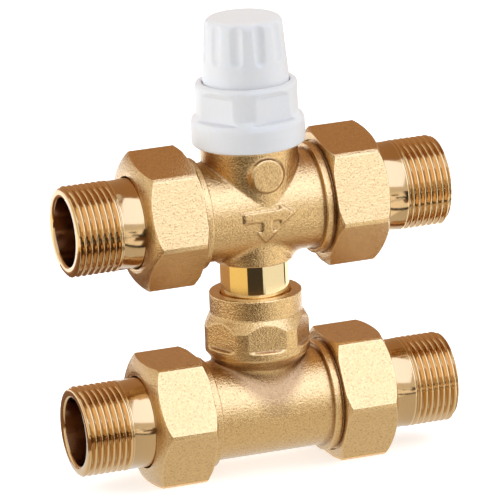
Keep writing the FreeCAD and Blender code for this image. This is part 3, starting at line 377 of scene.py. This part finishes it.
def markEdges(mesh, reach, blur):
    # stores in "edge" how convex each vertex is over the given reach
    points = readVertices(mesh)
    normals = readVertices(mesh, "normal")
    ends = readEdges(mesh)
    count = len(points)
    span = points[ends[:, 1]] - points[ends[:, 0]]
    squared = np.maximum((span ** 2).sum(1), 1e-12)
    total = np.zeros(count)
    links = np.zeros(count)
    for near, side in ((0, -1.0), (1, 1.0)):
        bend = side * (normals[ends[:, near]] * span).sum(1) * 2.0 / squared
        np.add.at(total, ends[:, near], bend)
        np.add.at(links, ends[:, near], 1.0)
    value = total / np.maximum(links, 1.0) * reach
    for _ in range(blur):
        spread = value.copy()
        np.add.at(spread, ends[:, 0], value[ends[:, 1]])
        np.add.at(spread, ends[:, 1], value[ends[:, 0]])
        value = spread / (links + 1.0)
    value = np.clip(value + 0.5, 0.0, 1.0)
    attribute = mesh.attributes.new("edge", "FLOAT", "POINT")
    attribute.data.foreach_set("value", value.astype(np.float32))


def toMesh(work, name):
    mesh = bpy.data.meshes.new(name)
    work.to_mesh(mesh)
    work.free()
    return mesh


def shown(name, data):
    obj = bpy.data.objects.new(name, data)
    bpy.context.scene.collection.objects.link(obj)
    return obj


def finishPiece(name, mesh, nodeName, settings):
    mesh.polygons.foreach_set("use_smooth", [True] * len(mesh.polygons))
    mesh.set_sharp_from_angle(angle=math.radians(settings["smoothAngle"]))
    mesh.materials.clear()
    mesh.materials.append(finishes[slotOf[nodeName]])
    markEdges(mesh, settings["reach"], settings["blur"])
    piece = shown(name, mesh)
    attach(piece, nodes[nodeName]["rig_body"])
    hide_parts(nodeName)
    print("piece", name, len(mesh.polygons), "faces")


def relaxMesh(mesh, rounds, factor, weight=None):
    # pulls each vertex towards the mean of its neighbours; a weight keeps it to one place
    points = readVertices(mesh)
    ends = readEdges(mesh)
    count = len(points)
    if weight is None:
        share = np.full(count, factor)
    else:
        share = weight(points) * factor
        ends = ends[(share[ends[:, 0]] > 0) | (share[ends[:, 1]] > 0)]
    near = np.concatenate([ends[:, 0], ends[:, 1]])
    far = np.concatenate([ends[:, 1], ends[:, 0]])
    links = np.maximum(np.bincount(near, minlength=count), 1)
    for _ in range(rounds):
        for axis in range(3):
            mean = np.bincount(near, weights=points[far, axis], minlength=count) / links
            points[:, axis] += (mean - points[:, axis]) * share
    mesh.vertices.foreach_set("co", points.ravel())
    mesh.update()


def applied(obj):
    # the object's mesh with its modifiers; the object itself goes
    bpy.context.view_layer.update()
    depsgraph = bpy.context.evaluated_depsgraph_get()
    mesh = bpy.data.meshes.new_from_object(obj.evaluated_get(depsgraph))
    old = obj.data
    bpy.data.objects.remove(obj)
    bpy.data.meshes.remove(old)
    return mesh


def cutAway(obj, cutter):
    cut = obj.modifiers.new("cutAway", "BOOLEAN")
    cut.operation = "DIFFERENCE"
    cut.solver = "EXACT"
    cut.object = cutter


def shadeFillet(mesh, fillet, depth):
    # painted shade: the edge attribute is lowered where the fillet draws in, so the hollow colour darkens
    # it
    value = np.empty(len(mesh.vertices), dtype=np.float32)
    edge = mesh.attributes["edge"].data
    edge.foreach_get("value", value)
    value -= (fillet(readVertices(mesh)) * depth).astype(np.float32)
    edge.foreach_set("value", np.clip(value, 0.0, 1.0))


def softCopy(nodeName, pieceName, settings, cutter=None, fillet=None):
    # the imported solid, merged, remeshed evenly and relaxed, so its edges read as forged or moulded
    shell = bmesh.new()
    shell.from_mesh(nodes[nodeName].data)
    bmesh.ops.remove_doubles(shell, verts=shell.verts, dist=1e-6)
    holder = shown(pieceName + "Shell", toMesh(shell, pieceName + "Shell"))
    if cutter:
        cutAway(holder, cutter)
    remesh = holder.modifiers.new("evenFaces", "REMESH")
    remesh.mode = "VOXEL"
    remesh.voxel_size = settings["voxel"]
    remesh.adaptivity = 0.0
    even = applied(holder)
    if cutter:
        bpy.data.objects.remove(cutter)
    if fillet:
        relaxMesh(even, settings["filletRounds"], settings["factor"], fillet)
    relaxMesh(even, settings["relax"], settings["factor"])
    triangles = sum(len(face.vertices) - 2 for face in even.polygons)
    if triangles > settings["most"]:
        holder = shown(pieceName + "Even", even)
        thin = holder.modifiers.new("fewerFaces", "DECIMATE")
        thin.ratio = settings["most"] / triangles
        even = applied(holder)
    even.name = pieceName
    print(pieceName, triangles, "triangles before thinning")
    finishPiece(pieceName, even, nodeName, settings)
    if fillet:
        shadeFillet(even, fillet, settings["filletShade"])


def spunMesh(profile, steps, axis):
    # profile points are (along the axis, radius); the outline is spun once round the axis
    work = bmesh.new()
    corners = []
    for along, radius in profile:
        point = (along, 0.0, radius) if axis == "X" else (radius, 0.0, along)
        corners.append(work.verts.new(point))
    for first, second in zip(corners, corners[1:] + corners[:1]):
        work.edges.new((first, second))
    line = (1, 0, 0) if axis == "X" else (0, 0, 1)
    bmesh.ops.spin(work, geom=work.verts[:] + work.edges[:], cent=(0, 0, 0), axis=line,
                   angle=math.tau, steps=steps, use_merge=True, use_duplicate=False)
    bmesh.ops.remove_doubles(work, verts=work.verts, dist=1e-7)
    bmesh.ops.recalc_face_normals(work, faces=work.faces)
    return work


# Forged and moulded pieces

forgedShape = {
    "voxel": 0.26 * mm, "relax": 3, "factor": 0.5, "most": 190000,  # most triangles in one piece
    "smoothAngle": 70.0, "reach": 0.40 * mm, "blur": 1, "filletRounds": 320, "filletShade": 0.3,
}
mouldedShape = {
    "voxel": 0.27 * mm, "relax": 3, "factor": 0.5, "most": 190000,
    "smoothAngle": 70.0, "reach": 0.5 * mm, "blur": 1,
}

# The tee's neck draws in under the round band, and runs out into the pipe in a wide fillet
neckShape = {
    "bandEnd": 17.35 * mm, "bandRadius": 15.5 * mm, "waist": 11.3 * mm, "waistHeight": 13.0 * mm,
    "foot": 5.0 * mm, "clear": 17.0 * mm, "steps": 96,
    "pipe": 14.52 * mm, "pipeLength": 60 * mm, "pipeSteps": 160,
    "innerPipe": 12.6 * mm, "innerWall": 10.8 * mm,  # bores inside these stay as they are
    "spreadUp": 4.6 * mm, "spreadRound": 3.2 * mm, "spreadFull": 1.8,  # reach of the fillet
}


def makeNeckCutter():
    shape = neckShape
    profile = [(pipeAxis["lower"] + shape[height], shape[radius]) for height, radius in (
        ("bandEnd", "bandRadius"), ("bandEnd", "clear"), ("foot", "clear"), ("foot", "waist"),
        ("waistHeight", "waist"))]
    ring = shown("neckCutter", toMesh(spunMesh(profile, shape["steps"], "Z"), "neckCutter"))
    pipe = bmesh.new()
    turn = Matrix.Translation((0, 0, pipeAxis["lower"])) @ Matrix.Rotation(math.pi / 2, 4, "Y")
    bmesh.ops.create_cone(pipe, cap_ends=True, segments=shape["pipeSteps"], radius1=shape["pipe"],
                          radius2=shape["pipe"], depth=shape["pipeLength"], matrix=turn)
    keep = shown("neckKeep", toMesh(pipe, "neckKeep"))
    cutAway(ring, keep)
    cutter = shown("neckCutterDone", applied(ring))
    bpy.data.objects.remove(keep)
    return cutter


def neckFillet(points):
    # 1 along the line where the neck meets the pipe, 0 away from it and inside the bores
    shape = neckShape
    height = points[:, 2] - pipeAxis["lower"]
    plan = np.hypot(points[:, 0], points[:, 1])
    tube = np.hypot(points[:, 1], height)
    offNeck = np.abs(plan - shape["waist"]) / shape["spreadUp"]
    offPipe = np.abs(tube - shape["pipe"]) / shape["spreadRound"]
    near = np.clip((1 - np.maximum(offNeck, offPipe)) * shape["spreadFull"], 0, 1)
    outside = (tube > shape["innerPipe"]) & (plan > shape["innerWall"]) & (height > 0)
    return near * outside


softCopy("valve_body", "forgedValveBody", forgedShape)
softCopy("bypass_tee", "forgedBypassTee", forgedShape, makeNeckCutter(), neckFillet)
softCopy("cap_collar", "mouldedCollar", mouldedShape)
softCopy("control_knob", "mouldedKnob", mouldedShape)


# Union nuts

def reachOf(nodeName, side):
    # ends of a piece along its pipe, from the middle of the valve outwards
    low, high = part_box(nodeName)
    return (low.x, high.x) if side == "right" else (-high.x, -low.x)


nutShape = {
    "flat": 18.0 * mm, "corner": 20.45 * mm, "faceRadius": 14.8 * mm, "backRadius": 18.7 * mm,
    "hole": 13.57 * mm, "thread": 16.62 * mm, "lip": 3.0 * mm, "steps": 120,
    "faceCone": 2.7 * mm, "backCone": 1.1 * mm, "dome": 0.45, "domeSteps": 8,
    "sharpAngle": 12.0, "edgeRound": 0.55 * mm, "edgeSteps": 3,
    "wideFace": 60 * mm * mm, "inset": 0.5 * mm,  # keeps the shading of the wide flats even
    "tilt": {"upper": -12.0, "lower": 0.0},
    "smoothAngle": 28.0, "reach": 0.45 * mm, "blur": 0,
}


def domedFace(outer):
    # from the turned corners to the flat ring of the face, between a cone and a quarter ellipse
    shape = nutShape
    rise = shape["corner"] - shape["faceRadius"]
    points = []
    for step in range(shape["domeSteps"], -1, -1):
        share = step / shape["domeSteps"]
        angle = share * math.pi / 2
        drop = share + (1 - math.cos(angle) - share) * shape["dome"]
        reach = share + (math.sin(angle) - share) * shape["dome"]
        points.append((outer - shape["faceCone"] * drop, shape["faceRadius"] + rise * reach))
    return points


def makeNut(side, level):
    nodeName = f"{level}_{side}_union_nut"
    inner, outer = reachOf(nodeName, side)
    shape = nutShape
    profile = [(inner, shape["thread"]), (inner, shape["backRadius"]),
               (inner + shape["backCone"], shape["corner"])]
    profile += domedFace(outer)
    profile += [(outer, shape["hole"]), (outer - shape["lip"], shape["hole"]),
                (outer - shape["lip"], shape["thread"])]
    work = spunMesh(profile, shape["steps"], "X")
    for index in range(6):
        angle = math.radians(shape["tilt"][level] + 60 * index)
        facing = Vector((0.0, math.sin(angle), math.cos(angle)))
        bmesh.ops.bisect_plane(work, geom=work.verts[:] + work.edges[:] + work.faces[:], dist=1e-7,
                               plane_co=facing * shape["flat"], plane_no=facing, clear_outer=True)
        rim = [edge for edge in work.edges if edge.is_boundary]
        bmesh.ops.holes_fill(work, edges=rim, sides=0)
    bmesh.ops.recalc_face_normals(work, faces=work.faces)
    least = math.radians(shape["sharpAngle"])
    sharp = [edge for edge in work.edges if edge.calc_face_angle(0.0) > least]
    bmesh.ops.bevel(work, geom=sharp, offset=shape["edgeRound"], offset_type="OFFSET",
                    segments=shape["edgeSteps"], profile=0.5, affect="EDGES", clamp_overlap=True,
                    material=-1)
    wide = [face for face in work.faces if face.calc_area() > shape["wideFace"]]
    bmesh.ops.inset_individual(work, faces=wide, thickness=shape["inset"])
    if side == "left":
        bmesh.ops.scale(work, vec=(-1, 1, 1), verts=work.verts)
    bmesh.ops.translate(work, vec=(0, 0, pipeAxis[level]), verts=work.verts)
    bmesh.ops.recalc_face_normals(work, faces=work.faces)
    finishPiece(f"{level}{side.capitalize()}Nut", toMesh(work, nodeName), nodeName, shape)


# Tailpieces with the real helical pipe thread

tailShape = {
    "bore": 10.0 * mm, "boreRound": 0.7 * mm, "mouth": 10.5 * mm,
    "flange": 15.0 * mm, "flangeThickness": 2.2 * mm, "flangeEdge": 0.2 * mm,
    "neck": 13.05 * mm, "neckRound": 0.3 * mm,
    "thread": 13.22 * mm, "threadLength": 13.9 * mm, "pitch": 1.814 * mm, "depth": 1.0 * mm,
    "crest": 0.10, "rounding": 0.35, "runout": 1.3 * mm, "edge": 0.8 * mm,
    "steps": 144, "perPitch": 12,
    "smoothAngle": 50.0, "reach": 0.35 * mm, "blur": 0,
}


def threadRadius(along, angle, start, end):
    # rounded 55 degree form, fading into the neck and cut back by the end chamfer
    shape = tailShape
    phase = (along / shape["pitch"] - angle / math.tau) % 1.0
    flank = abs(phase - 0.5) * 2.0
    bite = min(max((flank - shape["crest"]) / (1 - shape["crest"]), 0.0), 1.0)
    bite += (bite * bite * (3 - 2 * bite) - bite) * shape["rounding"]
    fade = min(max((along - start) / shape["runout"], 0.0), 1.0)
    radius = shape["thread"] - shape["depth"] * bite * fade
    chamfer = shape["thread"] - shape["edge"] + (end - along)
    return min(radius, chamfer)


def makeTailpiece(side, level):
    nodeName = f"{level}_{side}_tailpiece"
    inner, outer = reachOf(nodeName, side)
    shape = tailShape
    start = outer - shape["threadLength"]
    rings = int(round(shape["threadLength"] / shape["pitch"] * shape["perPitch"]))
    stations = [start + shape["threadLength"] * index / rings for index in range(rings + 1)]
    flangeEnd = inner + shape["flangeThickness"]
    edge = shape["flangeEdge"]
    profile = [(inner, shape["bore"]), (inner, shape["flange"] - edge), (inner + edge, shape["flange"]),
               (flangeEnd - edge, shape["flange"]), (flangeEnd, shape["flange"] - edge),
               (flangeEnd, shape["neck"] + shape["neckRound"]),
               (flangeEnd + shape["neckRound"], shape["neck"])]
    profile += [(start - 0.15 * mm, shape["neck"]), (start, shape["neck"] + 0.1 * mm)]
    profile += [(station, shape["thread"]) for station in stations[1:]]
    profile += [(outer, shape["mouth"]), (outer - shape["boreRound"] / 2, shape["bore"] + 0.1 * mm),
                (outer - shape["boreRound"], shape["bore"])]
    work = spunMesh(profile, shape["steps"], "X")
    for vert in work.verts:
        radius = math.hypot(vert.co.y, vert.co.z)
        if vert.co.x > start + 1e-7 and radius > shape["neck"]:
            angle = math.atan2(vert.co.z, vert.co.y)
            share = threadRadius(vert.co.x, angle, start, outer) / radius
            vert.co.y *= share
            vert.co.z *= share
    if side == "left":
        bmesh.ops.rotate(work, cent=(0, 0, 0), matrix=Matrix.Rotation(math.pi, 3, "Z"), verts=work.verts)
    bmesh.ops.translate(work, vec=(0, 0, pipeAxis[level]), verts=work.verts)
    bmesh.ops.recalc_face_normals(work, faces=work.faces)
    mesh = toMesh(work, nodeName)
    finishPiece(f"{level}{side.capitalize()}Tailpiece", mesh, nodeName, shape)
    # painted shade: the bore gets a darker colour through the "inside" attribute
    inside = mesh.attributes.new("inside", "FLOAT", "POINT")
    for vert in mesh.vertices:
        radius = math.hypot(vert.co.y, vert.co.z - pipeAxis[level])
        inside.data[vert.index].value = 1.0 if radius < shape["bore"] + 0.05 * mm else 0.0


for makeOne in (makeNut, makeTailpiece):
    for level in ("upper", "lower"):
        for side in ("left", "right"):
            makeOne(side, level)


# Polished sleeve

sleeveShape = {
    "bore": 7.8 * mm, "outer": 10.0 * mm, "edge": 0.5 * mm, "steps": 240,
    "smoothAngle": 30.0, "reach": 0.4 * mm, "blur": 0,
}


def makeSleeve():
    low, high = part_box("bypass_sleeve")
    shape = sleeveShape
    edge = shape["edge"]
    profile = [(low.z, shape["bore"]), (low.z, shape["outer"] - edge), (low.z + edge, shape["outer"]),
               (high.z - edge, shape["outer"]), (high.z, shape["outer"] - edge), (high.z, shape["bore"])]
    work = spunMesh(profile, shape["steps"], "Z")
    finishPiece("polishedSleeve", toMesh(work, "sleeve"), "bypass_sleeve", shape)


makeSleeve()


# Floor, lights and camera

stageShape = {
    "floorRadius": 4.0, "floorTone": linearColour(248, 248, 248), "lift": 0.6,
    "worldTone": 1.0, "worldFill": 0.48, "aim": Vector((0.0, 0.0, 70 * mm)),
    "sectorHeight": 1.0 * mm, "stripHeight": 1.5 * mm,
}


def seenAsBackground(tree):
    # 1 for what the camera, a mirror or glass sees, 0 for the light on the object
    seen = addNode(tree, "ShaderNodeLightPath", (-400, -300))
    wanted = mathNode(tree, "MAXIMUM", seen.outputs["Is Camera Ray"], seen.outputs["Is Glossy Ray"],
                      (-200, -300))
    return mathNode(tree, "MAXIMUM", wanted, seen.outputs["Is Transmission Ray"], (-100, -300))


def chooseShader(tree, factor, first, second, place):
    choose = addNode(tree, "ShaderNodeMixShader", place)
    for index, socket in enumerate((factor, first.outputs[0], second.outputs[0])):
        tree.links.new(socket, choose.inputs[index])
    return choose


def makeFloor():
    work = bmesh.new()
    bmesh.ops.create_circle(work, cap_ends=True, segments=96, radius=stageShape["floorRadius"])
    floor = shown("floor", toMesh(work, "floor"))
    material, tree, shader = newFinish("paleFloor")
    shader.inputs["Base Color"].default_value = stageShape["floorTone"]
    shader.inputs["Roughness"].default_value = 0.9
    shader.inputs["Specular IOR Level"].default_value = 0.1
    glow = addNode(tree, "ShaderNodeEmission", (0, -200))
    glow.inputs["Strength"].default_value = stageShape["lift"]
    dark = addNode(tree, "ShaderNodeEmission", (0, -350))
    dark.inputs["Strength"].default_value = 0.0
    choose = chooseShader(tree, seenAsBackground(tree), dark, glow, (150, -200))
    both = addNode(tree, "ShaderNodeAddShader", (300, 0))
    tree.links.new(shader.outputs[0], both.inputs[0])
    tree.links.new(choose.outputs[0], both.inputs[1])
    tree.links.new(both.outputs[0], tree.nodes["Material Output"].inputs["Surface"])
    floor.data.materials.append(material)


def makeWorld():
    world = bpy.data.worlds.new("studio")
    bpy.context.scene.world = world
    world.use_nodes = True
    tree = world.node_tree
    plain = tree.nodes["Background"]
    plain.inputs["Color"].default_value = (1, 1, 1, 1)
    plain.inputs["Strength"].default_value = stageShape["worldFill"]
    white = addNode(tree, "ShaderNodeBackground", (0, -200))
    white.inputs["Color"].default_value = (1, 1, 1, 1)
    white.inputs["Strength"].default_value = stageShape["worldTone"]
    choose = chooseShader(tree, seenAsBackground(tree), plain, white, (200, 0))
    tree.links.new(choose.outputs[0], tree.nodes["World Output"].inputs["Surface"])


def direction(azimuth, elevation):
    # azimuth runs from the front (-Y) towards the right (+X)
    across = math.radians(azimuth)
    up = math.radians(elevation)
    return Vector((math.sin(across) * math.cos(up), -math.cos(across) * math.cos(up), math.sin(up)))


def aimed(obj, azimuth, elevation, distance):
    away = direction(azimuth, elevation)
    obj.location = stageShape["aim"] + away * distance
    obj.rotation_euler = away.to_track_quat("Z", "Y").to_euler()


def addLamp(name, azimuth, elevation, distance, width, height, level):
    # lights the plastic and the floor; the metal mirrors the cards instead
    lamp = bpy.data.lights.new(name, "AREA")
    lamp.shape = "RECTANGLE"
    lamp.size = width
    lamp.size_y = height
    lamp.energy = level * math.pi * width * height
    obj = shown(name, lamp)
    obj.visible_glossy = False
    aimed(obj, azimuth, elevation, distance)


def makeCard(name, work, tone, level=1.0):
    # a plain glowing or dark panel that only reflections show
    card = shown(name, toMesh(work, name))
    material, tree, shader = newFinish(name)
    glow = addNode(tree, "ShaderNodeEmission", (0, -200))
    glow.inputs["Color"].default_value = tone
    glow.inputs["Strength"].default_value = level
    tree.links.new(glow.outputs[0], tree.nodes["Material Output"].inputs["Surface"])
    card.data.materials.append(material)
    card.visible_camera = False
    card.visible_diffuse = False
    card.visible_shadow = False  # the floor's shadow stays
    return card


def addCard(name, azimuth, elevation, distance, width, height, tone, level=1.0):
    work = bmesh.new()
    bmesh.ops.create_grid(work, x_segments=1, y_segments=1, size=0.5)
    bmesh.ops.scale(work, vec=(width, height, 1), verts=work.verts)
    aimed(makeCard(name, work, tone, level), azimuth, elevation, distance)


def addTableStrip(name, across, along, tone):
    # a straight band on the table in front, which the pipes show as a line along them
    work = bmesh.new()
    bmesh.ops.create_grid(work, x_segments=1, y_segments=1, size=0.5)
    bmesh.ops.scale(work, vec=(across[1] - across[0], along[1] - along[0], 1), verts=work.verts)
    middle = (sum(across) / 2, sum(along) / 2, stageShape["stripHeight"])
    bmesh.ops.translate(work, vec=middle, verts=work.verts)
    makeCard(name, work, tone)


def addTableCard(name, azimuths, radii, tone):
    # a sector that lies on the table, for upright surfaces seen from above
    work = bmesh.new()
    lift = Vector((0, 0, stageShape["sectorHeight"]))
    ends = [work.verts.new(direction(azimuths[0], 0) * radius + lift) for radius in radii]
    work.edges.new(ends)
    bmesh.ops.spin(work, geom=work.verts[:] + work.edges[:], cent=(0, 0, 0), axis=(0, 0, 1),
                   angle=math.radians(azimuths[1] - azimuths[0]), steps=24, use_merge=False,
                   use_duplicate=False)
    bmesh.ops.remove_doubles(work, verts=work.verts, dist=1e-6)
    makeCard(name, work, tone)


makeFloor()
makeWorld()
addLamp("rightSoftbox", 70, 35, 0.9, 0.6, 0.6, 2.7)
addLamp("leftSoftbox", -95, 20, 0.9, 0.5, 0.7, 2.9)
addLamp("rearSoftbox", 175, 60, 1.0, 0.8, 0.5, 1.7)

# What the brass mirrors, found from where its bright and dark bands lie
brownShade = linearColour(190, 150, 112)
darkGap = linearColour(66, 60, 54)
addCard("keyPanel", 25, 43, 1.0, 1.2, 1.25, (0.60, 0.70, 1.0, 1), 3.2)
addCard("rearPanel", 165, 38, 1.2, 2.8, 2.3, brownShade)
addCard("topPanel", 165, 84, 1.3, 2.4, 0.8, brownShade)
addTableCard("socketFront", (-12, 14), (0.128, 0.19), linearColour(118, 86, 60))
addTableCard("underValve", (-180, 180), (0.0, 0.085), linearColour(238, 234, 228))
addTableCard("nearLeft", (-200, -55), (0.085, 0.19), linearColour(138, 104, 80))
addTableCard("nearFront", (-55, -12), (0.085, 0.19), linearColour(112, 84, 60))
addTableStrip("leftLine", (-0.02, 0.13), (-0.295, -0.235), darkGap)
addTableStrip("rightLine", (0.13, 0.32), (-0.54, -0.38), darkGap)
addTableStrip("lowerLine", (-0.08, 0.14), (-0.085, -0.067), darkGap)
addTableCard("sleeveGap", (-44, 7), (0.19, 0.24), darkGap)
addTableCard("sleeveGold", (-110, -44), (0.19, 0.24), linearColour(255, 226, 160))
addTableCard("sleeveLeft", (-200, -110), (0.19, 0.24), brownShade)
addTableCard("sleeveCream", (7, 95), (0.19, 0.24), (1.0, 1.02, 1.08, 1))
addTableCard("sleeveRight", (95, 103), (0.19, 0.24), darkGap)
addTableCard("cameraGap", (-70, 0), (0.24, 1.6), darkGap)
addTableCard("rightRear", (85, 160), (0.24, 1.6), brownShade)

# Fitted to the outlines in the photo: degrees, millimetres and pixels
cameraFit = {
    "azimuth": -20.0, "elevation": 16.0, "roll": 2.6, "distance": 1800.0, "focal": 6228.39,
    "across": 0.41, "up": 12.88, "photoSize": 500,
}


def makeCamera():
    fit = cameraFit
    a, e, r = (math.radians(fit[key]) for key in ("azimuth", "elevation", "roll"))
    forward = Vector((-math.sin(a) * math.cos(e), math.cos(a) * math.cos(e), -math.sin(e)))
    right = Vector((math.cos(a), math.sin(a), 0))
    up = right.cross(forward)
    turnedRight = right * math.cos(r) - up * math.sin(r)
    turnedUp = up * math.cos(r) + right * math.sin(r)
    place = -(turnedRight * fit["across"] + turnedUp * fit["up"] + forward * fit["distance"]) * mm
    place.z += pipeAxis["upper"]
    camera = bpy.data.cameras.new("photoCamera")
    camera.sensor_width = 36.0
    camera.lens = fit["focal"] * camera.sensor_width / fit["photoSize"]
    camera.clip_start = 0.05
    camera.clip_end = 30.0
    obj = shown("photoCamera", camera)
    axes = Matrix((turnedRight, turnedUp, -forward)).transposed()
    obj.matrix_world = Matrix.Translation(place) @ axes.to_4x4()
    bpy.context.scene.camera = obj


makeCamera()
bpy.context.scene.view_settings.view_transform = "Standard"
print("stage, lights and camera made")
